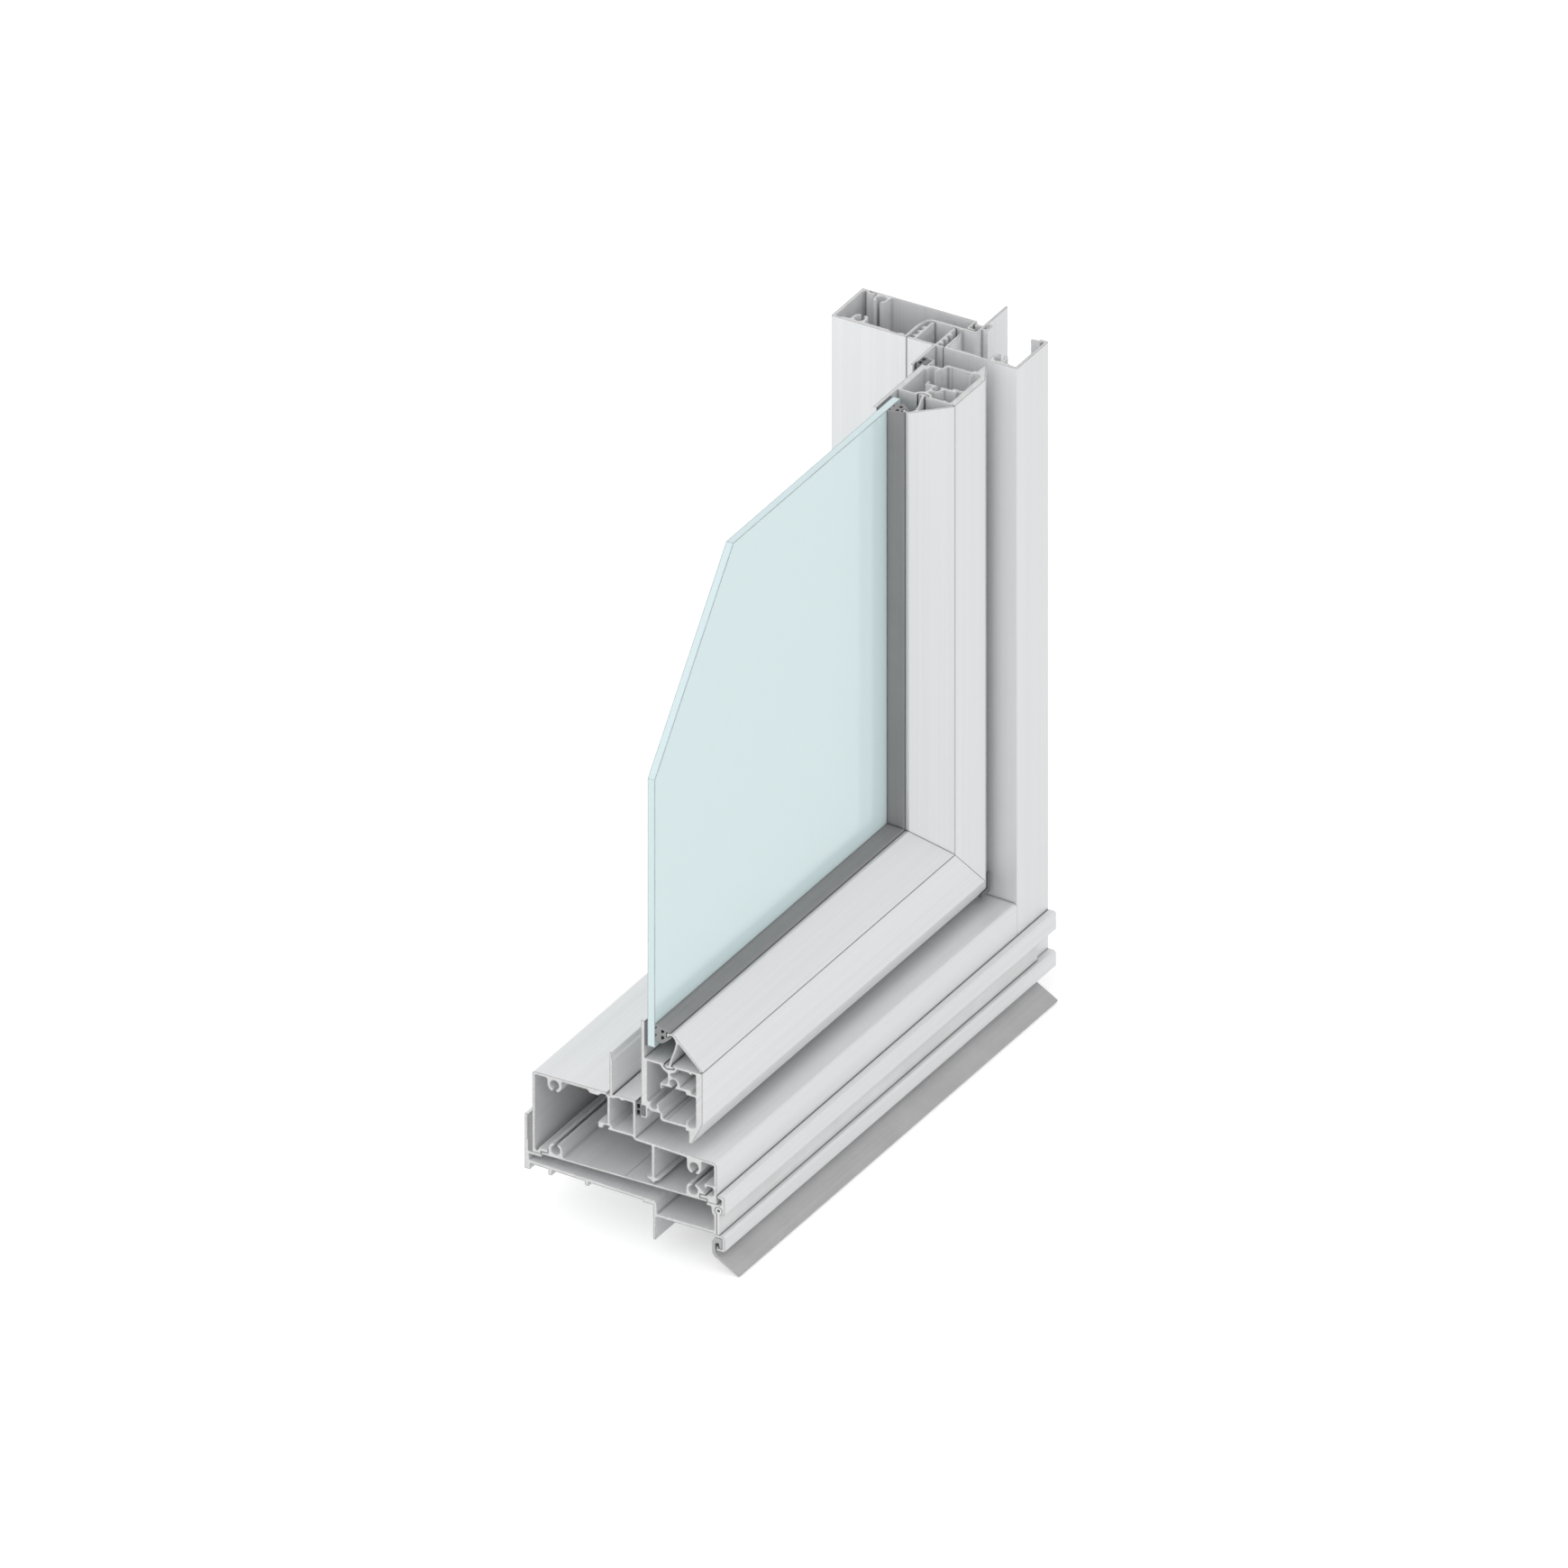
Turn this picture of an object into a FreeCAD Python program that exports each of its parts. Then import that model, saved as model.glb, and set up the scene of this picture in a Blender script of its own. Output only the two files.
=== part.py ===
import FreeCAD, Part
import math
import os

# Cut-away corner of an outward-opening awning window in aluminium profiles.
# X runs from the room to the exterior, Y along the sill from its sawn end
# to the jamb, Z up. Every section is drawn with X = 0 on the room face of the
# frame, Y = 0 on the sawn end and Z = 0 under the feet of the sub-sill; the
# placement of each body then brings the middle of the bearing pad to the
# origin. All sizes are millimetres.

sizes = {
    # Lengths of the sample and the joints between its pieces
    "sillLength": 283.2,
    "subSillShort": 0.7,
    "flapShort": 13.1,
    "jambHeight": 313.4,
    "mitreGap": 0.2,
    "clipGap": 0.2,
    "seatGap": 0.05,
    "jointGroove": 0.6,
    "finestRound": 0.35,
    "drillLine": 0.5,
    # Frame sill and jamb, drawn with the same walls
    "seatHeight": 10.0,
    "frameDepth": 100.5,
    "sillHeight": 44.0,
    "frameWall": 1.6,
    "frameCorner": 1.4,
    "portBore": 4.7,
    "portWall": 1.65,
    "portSlot": 2.4,
    "portRoot": 0.8,
    "basePlateWall": 1.3,
    "footLip": 4.7,
    "footNose": 8.5,
    "footRise": 3.4,
    # Chamber under the stop fin of the sill, and the outer slope
    "stopSetback": 40.85,
    "stopChamberWidth": 15.5,
    "stopChamberDepth": 20.2,
    "stopChamberWall": 1.5,
    "finHeight": 22.5,
    "finWall": 1.7,
    "slopeFall": 1.7,
    "slopeCorner": 1.9,
    "ribSetback": 65.0,
    "ribWall": 1.7,
    "roomPortSetback": 12.15,
    "outerPortInset": 12.3,
    # Jamb
    "jambProud": 0.8,
    "jambWidth": 29.9,
    "jambReturnWall": 1.9,
    "pocketSetback": 39.3,
    "pocketWall": 1.6,
    "pocketWidth": 19.7,
    "pocketDepth": 19.3,
    "wallFinLength": 28.0,
    "wallFinWall": 1.3,
    "coverLegWall": 1.5,
    "coverFinLength": 21.2,
    # Sub-sill under the frame
    "upstandHeight": 20.0,
    "upstandWall": 2.0,
    "sealantWidth": 2.1,
    "serrationPitch": 1.15,
    "serrationDepth": 0.7,
    "subSillWall": 2.1,
    "stepSetback": 65.9,
    "subSillShelf": 6.15,
    "legDrop": 18.7,
    "padWidth": 5.5,
    "roomFootSetback": 8.75,
    "middleFootSetback": 28.7,
    "footWidth": 2.15,
    "seatLipWall": 1.6,
    "hookHeight": 4.9,
    "hookProud": 4.35,
    # Sash rail and stile, one section
    "sashDrop": 0.9,
    "sealWidth": 2.95,
    "sashDepth": 33.4,
    "sashUpstand": 20.0,
    "sashBoxHeight": 25.7,
    "sashWall": 1.5,
    "upstandThickness": 1.9,
    "innerWall": 3.4,
    "outerWall": 3.65,
    "dripDrop": 14.2,
    "dripLean": 6.2,
    "dripTip": 1.2,
    "sashSetback": 18.9,
    # Glazing
    "tapeThickness": 1.6,
    "glassThickness": 4.0,
    "glassClearance": 7.0,
    "glassNearHeight": 178.2,
    "glassCutRun": 74.2,
    "beadRise": 16.9,
    "beadWall": 1.2,
    "wedgeWidth": 8.2,
    # Corner cap round the tips of the drip
    "capLeg": 11.0,
    "capFoot": 8.5,
    "capWall": 2.4,
    "capCheek": 1.2,
    "capGrip": 2.6,
    "capLip": 0.5,
    # Loose seals
    "beadSealRing": 3.5,
    "drainFlapWall": 1.2,
    "weatherFlapWall": 1.3,
    "weatherFlapReach": 15.2,
}

doc = FreeCAD.newDocument("AwningWindowCorner")
sheet = doc.addObject("Spreadsheet::Sheet", "Sizes")
for row, (alias, value) in enumerate(sizes.items(), start=1):
    sheet.set("A%d" % row, alias)
    sheet.set("B%d" % row, str(value))
    sheet.setAlias("B%d" % row, alias)
doc.recompute()


def size(alias):
    return float(sheet.get(alias))


# Lengths that follow the sill and the jamb it butts against
subSillLength = "Sizes.sillLength + Sizes.jambWidth - Sizes.subSillShort"
flapLength = "Sizes.sillLength + Sizes.jambWidth - Sizes.flapShort"


# Outline points
#
# A point is (x, y), (x, y, radius) for a rounded corner, or
# (x, y, "via", midX, midY) for the end of an arc through a middle point.
# A corner with less radius than finestRound is broken by a small flat.


def isArcEnd(point):
    return len(point) == 5


def outlineEdges(outline):
    # Straight edges and arcs as ("line", a, b) and ("arc", a, middle, b)
    corners = []
    count = len(outline)
    for index, point in enumerate(outline):
        here = FreeCAD.Vector(point[0], point[1], 0)
        rounded = len(point) == 3 and point[2] > 0
        if not rounded:
            corners.append((here, None, here))
            continue
        previous = outline[index - 1]
        following = outline[(index + 1) % count]
        toPrevious = FreeCAD.Vector(previous[0], previous[1], 0) - here
        toFollowing = FreeCAD.Vector(following[0], following[1], 0) - here
        halfAngle = toPrevious.getAngle(toFollowing) / 2
        shorter = min(toPrevious.Length, toFollowing.Length)
        radius = min(point[2], 0.48 * shorter * math.tan(halfAngle))
        setback = radius / math.tan(halfAngle)
        toPrevious.normalize()
        toFollowing.normalize()
        inward = toPrevious + toFollowing
        inward.normalize()
        middle = here + inward * (radius / math.sin(halfAngle) - radius)
        if point[2] < size("finestRound"):
            middle = None
        corners.append((here + toPrevious * setback, middle, here + toFollowing * setback))
    edges = []
    for index, (start, middle, end) in enumerate(corners):
        if middle is not None:
            edges.append(("arc", start, middle, end))
        elif (end - start).Length > 1e-6:
            edges.append(("line", start, end))
        following = outline[(index + 1) % count]
        target = corners[(index + 1) % count][0]
        if (target - end).Length < 1e-6:
            continue
        if isArcEnd(following):
            via = FreeCAD.Vector(following[3], following[4], 0)
            edges.append(("arc", end, via, target))
        else:
            edges.append(("line", end, target))
    return edges


def drawOutline(sketch, outline):
    for edge in outlineEdges(outline):
        if edge[0] == "line":
            sketch.addGeometry(Part.LineSegment(edge[1], edge[2]), False)
            continue
        start, middle, end = edge[1:]
        turn = (middle - start).cross(end - middle).z
        if turn > 0:
            sketch.addGeometry(Part.ArcOfCircle(start, middle, end), False)
        else:
            sketch.addGeometry(Part.ArcOfCircle(end, middle, start), False)


def originPlane(body, role):
    for feature in body.Origin.OriginFeatures:
        if feature.Role == role:
            return feature
    raise ValueError(role)


def attachedSketch(body, role, name):
    sketch = body.newObject("Sketcher::SketchObject", name)
    sketch.AttachmentSupport = [(originPlane(body, role), "")]
    sketch.MapMode = "FlatFace"
    return sketch


def newBody(label):
    body = doc.addObject("PartDesign::Body", label)
    body.Label = label
    body.setExpression("Placement.Base.x", "-(Sizes.stepSetback - Sizes.padWidth / 2)")
    body.setExpression("Placement.Base.y", "-(%s) / 2" % subSillLength)
    return body


def extrudeAlong(label, outline, holes, length):
    # A section in the XZ plane, drawn out along the sill
    body = newBody(label)
    sketch = attachedSketch(body, "XZ_Plane", label + "_section")
    for loop in [outline] + holes:
        drawOutline(sketch, loop)
    pad = body.newObject("PartDesign::Pad", label + "_pad")
    pad.Profile = sketch
    pad.Reversed = True
    pad.setExpression("Length", length)
    return body


def extrudeUp(label, outline, holes, start, height):
    # A section in the XY plane, drawn upwards
    body = newBody(label)
    sketch = attachedSketch(body, "XY_Plane", label + "_section")
    sketch.setExpression("AttachmentOffset.Base.z", start)
    for loop in [outline] + holes:
        drawOutline(sketch, loop)
    pad = body.newObject("PartDesign::Pad", label + "_pad")
    pad.Profile = sketch
    pad.setExpression("Length", height)
    return body


def cutMitre(body, keepRail):
    # Saw cut on the plane y + z = mitreLine, from above or from below
    shift = -gap["mitre"] / 2 if keepRail else gap["mitre"] / 2
    line = mitreLine + shift * math.sqrt(2)
    low = -size("legDrop")
    high = sectionTop + size("seatHeight")
    far = line - low if keepRail else line - high
    sketch = attachedSketch(body, "YZ_Plane", body.Label + "_saw")
    drawOutline(sketch, [(line - low, low), (far, high if keepRail else low), (line - high, high)])
    pocket = body.newObject("PartDesign::Pocket", body.Label + "_mitre")
    pocket.Profile = sketch
    pocket.Type = "ThroughAll"
    pocket.SideType = "Symmetric"
    return pocket


def trimFin(body):
    # The stop fin of the jamb stands on the sill, so its foot is cut away
    low = frameBottom - 1.0
    high = sillTop + gap["seat"]
    near = jambFace - size("coverFinLength") - 1.0
    sketch = attachedSketch(body, "YZ_Plane", body.Label + "_notch")
    drawOutline(sketch, [(near, low), (jambFace, low), (jambFace, high), (near, high)])
    pocket = body.newObject("PartDesign::Pocket", body.Label + "_foot")
    pocket.Profile = sketch
    pocket.Type = "ThroughAll"
    pocket.SideType = "Symmetric"


def move(outline, dx, dy):
    moved = []
    for point in outline:
        if isArcEnd(point):
            moved.append((point[0] + dx, point[1] + dy, "via", point[3] + dx, point[4] + dy))
        else:
            moved.append((point[0] + dx, point[1] + dy) + tuple(point[2:]))
    return moved


def flipUpright(outline, line):
    # The rail's section turned into the stile's: y = line - z
    turned = []
    for point in outline:
        if isArcEnd(point):
            turned.append((point[0], line - point[1], "via", point[3], line - point[4]))
        else:
            turned.append((point[0], line - point[1]) + tuple(point[2:]))
    return turned


def onSide(points, origin, across, outward):
    # Local points (p, q) placed with p along across and q along outward
    def place(p, q):
        x = origin[0] + p * across[0] + q * outward[0]
        y = origin[1] + p * across[1] + q * outward[1]
        return x, y
    placed = []
    for point in points:
        x, y = place(point[0], point[1])
        if isArcEnd(point):
            midX, midY = place(point[3], point[4])
            placed.append((x, y, "via", midX, midY))
        else:
            placed.append((x, y) + tuple(point[2:]))
    return placed


def screwPort(reach):
    # Open C for a self-tapping screw: its slot faces +q, the wall it grows
    # from lies at q = -reach, and the outline runs from +p to -p
    bore = size("portBore") / 2
    outer = bore + size("portWall")
    middle = (bore + outer) / 2
    lip = (outer - bore) / 2
    root = size("portRoot")
    slot = math.asin(size("portSlot") / 2 / bore)
    wide = (slot + math.pi / 2) / 2
    sinSlot = math.sin(slot)
    cosSlot = math.cos(slot)
    tipX = middle * sinSlot - lip * cosSlot
    tipY = middle * cosSlot + lip * sinSlot
    return [
        (outer, -reach, root),
        (outer, 0),
        (outer * sinSlot, outer * cosSlot, "via", outer * math.sin(wide), outer * math.cos(wide)),
        (bore * sinSlot, bore * cosSlot, "via", tipX, tipY),
        (-bore * sinSlot, bore * cosSlot, "via", 0, -bore),
        (-outer * sinSlot, outer * cosSlot, "via", -tipX, tipY),
        (-outer, 0, "via", -outer * math.sin(wide), outer * math.cos(wide)),
        (-outer, -reach, root),
    ]


def drillLine(x, level, side):
    # Small V cut in a wall's face that guides a drill, run through from right to left
    half = size("drillLine") / 2
    return [(x + half, level), (x, level + side * half), (x - half, level)]


# Levels and stations that several pieces share
gap = {
    "mitre": size("mitreGap"),
    "clip": size("clipGap"),
    "seat": size("seatGap"),
}
wall = size("frameWall")
depth = size("frameDepth")
frameBottom = size("seatHeight")
sillTop = frameBottom + size("sillHeight")
sectionTop = frameBottom + size("jambHeight")
plateTop = frameBottom + size("basePlateWall")
noseUnder = plateTop + gap["clip"]
noseTop = frameBottom + size("footRise")
chamberLeft = size("stopSetback")
chamberRight = chamberLeft + size("stopChamberWidth")
chamberBottom = sillTop - size("stopChamberDepth")
portOuter = size("portBore") / 2 + size("portWall")
sashFace = chamberRight + size("sealWidth")
sashBase = sillTop - size("sashDrop")
mitreLine = size("sillLength") - size("sashSetback") + sashBase
jambFace = size("sillLength")


# Frame sill

def slopeTop(x):
    run = (x - chamberRight) / (depth - chamberRight)
    return chamberBottom - size("slopeFall") * run


def roomFoot(bottomWall):
    # Foot at the room face, from the wall's inner face out to the outer
    # corner: p runs from the room face, q up from the bottom
    lip = size("footLip")
    nose = size("footNose")
    rise = size("footRise")
    under = size("basePlateWall") + gap["clip"]
    return [
        (bottomWall, 2.7),
        (bottomWall + 0.5, 1.5),
        (bottomWall + 1.3, 1.7),
        (bottomWall + 2.3, rise),
        (nose, rise, 0.5),
        (nose, under, 0.3),
        (lip, under),
        (lip, 0),
    ]


def frameSill():
    finLeft = chamberLeft + 1.25
    finRight = finLeft + size("finWall")
    finTop = sillTop + size("finHeight")
    groove = chamberLeft - 0.45
    outerFoot = depth - size("footLip") - 0.4
    outerNose = depth - size("footNose") - 0.6
    inner = depth - wall
    ribLeft = size("ribSetback")
    ribRight = ribLeft + size("ribWall")
    ribMiddle = ribLeft + size("ribWall") / 2
    armZ = chamberBottom + 2.1
    portX = depth - size("outerPortInset")
    innerPortX = size("roomPortSetback")
    outline = [
        (0, frameBottom),
        (0, sillTop, size("frameCorner")),
        (groove, sillTop),
        (groove, sillTop - 1.2),
        (finLeft, sillTop - 1.2),
        (finLeft, finTop, 0.3),
        (finRight - 0.6, finTop, 0.3),
        (finRight - 0.6, finTop - 3.4),
        (finRight, finTop - 4.5),
        (finRight, sillTop - 0.8),
        (finRight + 1.1, sillTop),
        (chamberRight, sillTop),
        (chamberRight, chamberBottom),
        (depth, slopeTop(depth), size("slopeCorner")),
        (depth, frameBottom),
        (outerFoot, frameBottom),
        (outerFoot, noseUnder),
        (outerNose, noseUnder, 0.3),
        (outerNose, noseTop - 0.2, 0.4),
        (outerNose + 3.6, noseTop - 0.2),
        (outerNose + 4.2, noseTop + 0.6),
        (inner, noseTop + 0.6, 1.8),
        (inner, noseTop + 5.1, 1.8),
        (inner - 3.6, noseTop + 5.1, 0.4),
        (inner - 4.1, noseTop + 3.9, 0.4),
        (inner - 5.3, noseTop + 3.9, 0.6),
        (inner - 5.3, noseTop + 6.4, 0.9),
        (inner, noseTop + 6.4),
        (inner, slopeTop(inner) - wall, 0.6),
    ]
    under = slopeTop(portX) - wall
    outline += onSide(screwPort(4.0), (portX, under - 4.0), (1, 0), (0, -1))
    outline += [
        (ribRight, slopeTop(ribRight) - wall, 0.5),
        (ribRight, noseTop + 1.8, 0.3),
        (ribMiddle + 3.2, noseTop + 1.6, 0.2),
        (ribMiddle + 3.4, noseTop + 0.9, 0.3),
        (ribMiddle + 1.2, noseTop - 0.3),
        (ribMiddle + 0.3, plateTop + gap["clip"] + 0.3, 0.3),
        (ribMiddle - 1.2, noseTop - 0.3),
        (ribMiddle - 3.4, noseTop + 0.5, 0.3),
        (ribMiddle - 3.8, noseTop + 1.4, 0.3),
        (ribLeft, noseTop + 1.8, 0.3),
        (ribLeft, slopeTop(ribLeft) - wall, 0.5),
        (chamberRight - 0.3, slopeTop(chamberRight) - wall, 0.5),
        (chamberRight - 1.7, chamberBottom),
        (chamberLeft + 0.4, chamberBottom, 0.3),
        (chamberLeft + 0.3, chamberBottom + 0.8, 0.3),
        (chamberLeft + 1.3, armZ - 0.2, 0.2),
        (chamberLeft + 1.1, armZ),
        (chamberLeft - 1.7, armZ),
        (chamberLeft - 2.8, armZ - 2.2, 0.4),
        (chamberLeft - 4.9, armZ - 2.2, 0.5),
        (chamberLeft - 4.9, armZ + 1.3, 0.6),
        (chamberLeft, armZ + 1.3, 0.3),
        (chamberLeft, sillTop - 2.8),
        (chamberLeft - 1.0, sillTop - wall),
        (chamberLeft - 3.2, sillTop - wall),
        (chamberLeft - 4.9, sillTop - wall - 1.5, 0.3),
        (chamberLeft - 9.5, sillTop - wall - 1.5, 0.5),
        (chamberLeft - 10.9, sillTop - wall),
    ]
    under = sillTop - wall
    outline += onSide(screwPort(2.7), (innerPortX, under - 2.7), (1, 0), (0, -1))
    outline += [(wall, under, 0.9)]
    outline += onSide(roomFoot(wall), (0, frameBottom), (1, 0), (0, 1))
    web = size("stopChamberWall")
    left = chamberLeft + web
    right = chamberRight - web
    hole = [
        (left, sillTop - 2.5, 0.3),
        (left + 2.3, sillTop - 2.5),
        (left + 3.4, sillTop - wall),
        (left + 5.0, sillTop - wall),
        (left + 5.9, sillTop - wall - 0.6),
        (left + 6.8, sillTop - wall - 0.6),
        (left + 8.1, sillTop - wall),
        (right, sillTop - wall, 0.7),
        (right, chamberBottom + wall, 0.4),
        (left + 1.8, chamberBottom + wall),
        (left, chamberBottom + wall + 2.3),
    ]
    return outline, [hole]


# Base plate that clips between the feet of the sill

def basePlate():
    left = size("footLip") + gap["clip"]
    right = depth - size("footLip") - 0.4 - gap["clip"]
    outerNose = depth - size("footNose") - 0.6
    fingerX = outerNose - gap["clip"]
    fingerZ = noseTop - 0.2 + gap["clip"]
    portZ = plateTop + 3.1
    roomPortX = size("footNose") + gap["clip"] + portOuter
    outerPortX = fingerX - portOuter + 0.5
    stepX = depth / 2 + 0.4
    port = onSide(screwPort(3.1), (outerPortX, portZ), (1, 0), (0, 1))
    outline = [
        (left, frameBottom),
        (right, frameBottom),
        (right, plateTop),
        (fingerX, plateTop),
        (fingerX, fingerZ),
        (fingerX + 3.0, fingerZ),
        (fingerX + 3.1, fingerZ + 0.6, 0.3),
        (outerPortX + 2.6, portZ + portOuter - 0.9, 0.3),
    ]
    outline += port[3:]
    outline += drillLine(stepX, plateTop, -1)
    outline += onSide(screwPort(3.1), (roomPortX, portZ), (1, 0), (0, 1))
    outline += [(left, plateTop, 0.3)]
    return outline, []


# Jamb, with X from its own room face and Y from its inner face

def frameJamb():
    side = depth + size("jambProud")
    back = size("jambWidth")
    room = size("jambReturnWall")
    inner = side - wall
    web = size("pocketWall")
    left = size("pocketSetback")
    right = left + 2 * web + size("pocketWidth") + 0.5
    pocketLeft = left + web
    pocketRight = right - web
    floor = size("pocketDepth")
    fin = right + 4.2
    finRight = fin + size("wallFinWall")
    finTop = floor + web + size("wallFinLength")
    outerNose = side - size("footNose") + 0.4
    portX = side - size("outerPortInset")
    innerPortX = size("roomPortSetback") + size("jambProud")
    joint = size("jointGroove")
    outline = [
        (0, 0, 0.3),
        (pocketLeft, 0, joint),
        (pocketLeft, floor - 5.7, 14),
        (pocketLeft + 0.7, floor - 1.2, 3),
        (pocketLeft + 1.9, floor, 2),
        (pocketRight - 1.9, floor, 2),
        (pocketRight - 0.7, floor - 1.2, 3),
        (pocketRight, floor - 5.7, 14),
        (pocketRight, 0, joint),
        (side, 0, 0.3),
        (side, back, 0.9),
        (side - 4.3, back, 0.3),
        (side - 4.8, back - 1.4),
        (outerNose, back - 1.7, 0.3),
        (outerNose, back - 3.0, 0.3),
        (side - 3.1, back - 3.1),
        (side - 2.7, back - 1.6, 0.2),
        (side - 1.9, back - 1.6, 0.2),
        (inner, back - 2.6),
        (inner, wall, 0.4),
        (side - 4.2, wall),
        (side - 6.6, wall + 0.8, 0.4),
    ]
    outline += onSide(screwPort(2.3), (portX, wall + 0.8 + 2.3), (1, 0), (0, 1))
    outline += [
        (portX - portOuter - 0.1, wall),
        (portX - 8.0, wall),
        (portX - 8.9, wall + 0.6, 0.3),
        (right + 2.3, wall + 0.6, 0.3),
        (right + 1.3, wall + 1.3, 0.3),
        (right, wall + 0.3),
        (right, floor - 8.7, 14),
        (right - 0.9, floor - 4.4, 8),
        (right - 2.4, floor - 0.4, 0.3),
        (right - 2.0, floor),
        (fin, floor, 0.3),
        (finRight, floor + 0.5),
        (finRight, floor + 4.9),
        (finRight + 3.0, floor + 4.9, 0.4),
        (finRight + 3.0, back, 0.8),
        (finRight + 1.0, back + 0.1, 0.3),
        (finRight + 0.6, back - 0.9, 0.2),
        (finRight + 1.9, back - 1.2, 0.2),
        (finRight + 1.9, floor + 6.2, 0.2),
        (finRight, floor + 6.2),
        (finRight, finTop, 0.3),
        (fin, finTop, 0.3),
        (fin, floor + 8.0),
        (fin - 3.0, floor + 8.0),
        (fin - 3.0, floor + 8.8, 0.2),
        (fin - 3.9, floor + 8.8, 0.2),
        (fin - 3.9, floor + 6.6, 0.3),
        (fin, floor + 6.6),
        (fin, floor + web + 0.3, 0.3),
        (left + 4.4, floor + web + 0.3),
        (left + 1.7, floor + 0.2, 5),
        (left, floor - 6.5, 14),
        (left, wall),
        (left - 0.8, wall + 1.0, 0.4),
        (left - 2.6, wall + 0.9, 0.4),
        (left - 4.0, wall, 0.4),
        (left - 8.0, wall),
        (left - 9.0, wall + 0.8, 0.3),
    ]
    outline += onSide(screwPort(2.3), (innerPortX, wall + 0.8 + 2.3), (1, 0), (0, 1))
    outline += [
        (room + 3.2, wall + 0.8, 0.3),
        (room + 3.0, wall),
        (room, wall, 0.4),
    ]
    outline += onSide(roomFoot(room), (0, back), (1, 0), (0, -1))
    outline += [(0, back, 0.3)]
    return outline, []


def jambBackPlate():
    back = size("jambWidth")
    plate = size("basePlateWall")
    left = size("footLip") + gap["clip"]
    right = size("pocketSetback") + 2 * size("pocketWall") + size("pocketWidth") + 0.5
    portX = size("footNose") + gap["clip"] + portOuter
    seat = size("pocketDepth") + size("pocketWall") + 0.3 + gap["clip"]
    outline = [
        (left, back),
        (left, back - plate, 0.3),
    ]
    port = onSide(screwPort(3.1), (portX, back - plate - 3.1), (-1, 0), (0, -1))
    outline += port
    outline += [
        (right - 1.6, back - plate),
        (right - 1.6, seat, 0.9),
        (right + 2.6, seat, 0.5),
        (right + 2.9, seat + plate, 0.4),
        (right - 0.2, seat + plate, 0.4),
        (right - 0.2, back, 0.3),
    ]
    return outline, []


def stopCover():
    # Snap-in cover of the jamb's pocket, with the stop fin of the sash
    pocketLeft = size("pocketSetback") + size("pocketWall")
    pocketRight = size("pocketSetback") + size("pocketWall") + size("pocketWidth") + 0.5
    left = pocketLeft + gap["clip"]
    right = pocketRight - gap["clip"]
    leg = size("coverLegWall")
    legLeft = left + 3.0
    legRight = chamberRight + size("jambProud")
    top = size("pocketDepth") - gap["clip"]
    finEnd = -size("coverFinLength")
    fin = size("finWall")
    joint = size("jointGroove")
    outline = [
        (left, 0, joint),
        (legRight - fin, 0),
        (legRight - fin, finEnd, 0.3),
        (legRight - 0.5, finEnd, 0.3),
        (legRight - 0.5, finEnd + 3.4),
        (legRight, finEnd + 4.5),
        (legRight, 0),
        (right, 0, joint),
        (right, wall),
        (legRight + 0.2, wall),
    ]
    outline += barbs(legRight + 0.2, wall + 1.6, 1)
    outline += [
        (legRight + 0.2, top - 0.8),
        (legRight - 0.5, top),
        (legRight + 0.2 - leg, top),
        (legRight + 0.2 - leg, wall),
        (legLeft + leg, wall),
        (legLeft + leg, top),
        (legLeft + 0.7, top),
        (legLeft, top - 0.8),
    ]
    outline += barbs(legLeft, wall + 1.6, -1)[::-1]
    outline += [
        (legLeft, wall),
        (left, wall),
    ]
    return outline, []


def barbs(x, start, side):
    # Snap teeth of a cover leg, three in a row
    points = []
    for index in range(3):
        low = start + index * 4.2
        points += [
            (x, low),
            (x + side * 1.6, low + 0.5),
            (x + side * 1.6, low + 1.3),
            (x, low + 2.4),
        ]
    return points


# Sub-sill

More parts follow.
